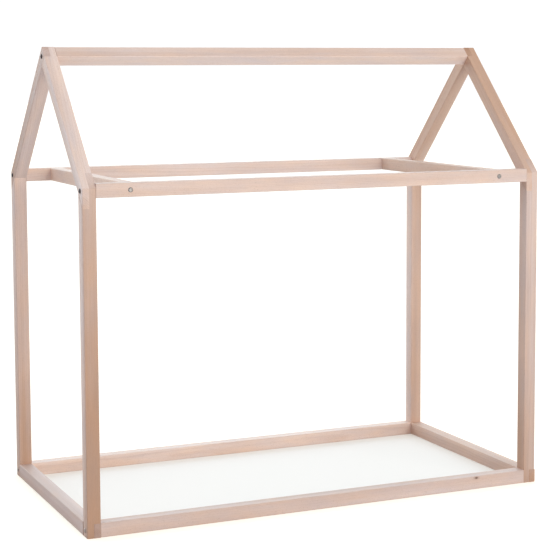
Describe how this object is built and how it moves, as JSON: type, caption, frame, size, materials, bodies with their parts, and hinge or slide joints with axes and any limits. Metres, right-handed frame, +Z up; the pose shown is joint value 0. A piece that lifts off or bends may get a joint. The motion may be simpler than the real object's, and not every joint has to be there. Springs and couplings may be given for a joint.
{
  "type": "house frame bed",
  "caption": "Child's floor bed frame of square timbers in the outline of a small house, with half-lapped gables, long rails, tie rails and a ridge beam.",
  "frame": {"origin": "on the floor, under the middle of the bed", "axes": "+X along the bed, to the right seen from the front; +Y from front to rear; +Z up"},
  "size_m": [1.486, 0.786, 1.382],
  "materials": {
    "timber": "bare fine-sanded beech, matt",
    "bolt_steel": "plain zinc-plated steel, satin",
    "nut_steel": "plain zinc-plated steel, satin",
    "dowel_wood": "bare beech, fluted dowel stock"
  },
  "bodies": {
    "root": {"front_base_rail": "timber", "rear_base_rail": "timber", "front_eave_rail": "timber", "rear_eave_rail": "timber", "left_tie_rail": "timber", "right_tie_rail": "timber", "ridge_beam": "timber", "left_base_cross_rail": "timber", "right_base_cross_rail": "timber", "left_front_post": "timber", "left_front_rafter": "timber", "left_rear_post": "timber", "left_rear_rafter": "timber", "right_front_post": "timber", "right_front_rafter": "timber", "right_rear_post": "timber", "right_rear_rafter": "timber", "base_bolts": "bolt_steel", "eave_bolts": "bolt_steel", "ridge_bolts": "bolt_steel", "tie_rail_bolts": "bolt_steel", "base_barrel_nuts": "nut_steel", "eave_barrel_nuts": "nut_steel", "ridge_barrel_nuts": "nut_steel", "tie_rail_barrel_nuts": "nut_steel", "base_dowels": "dowel_wood", "eave_dowels": "dowel_wood", "ridge_dowels": "dowel_wood", "tie_rail_dowels": "dowel_wood"}
  },
  "joints": []
}
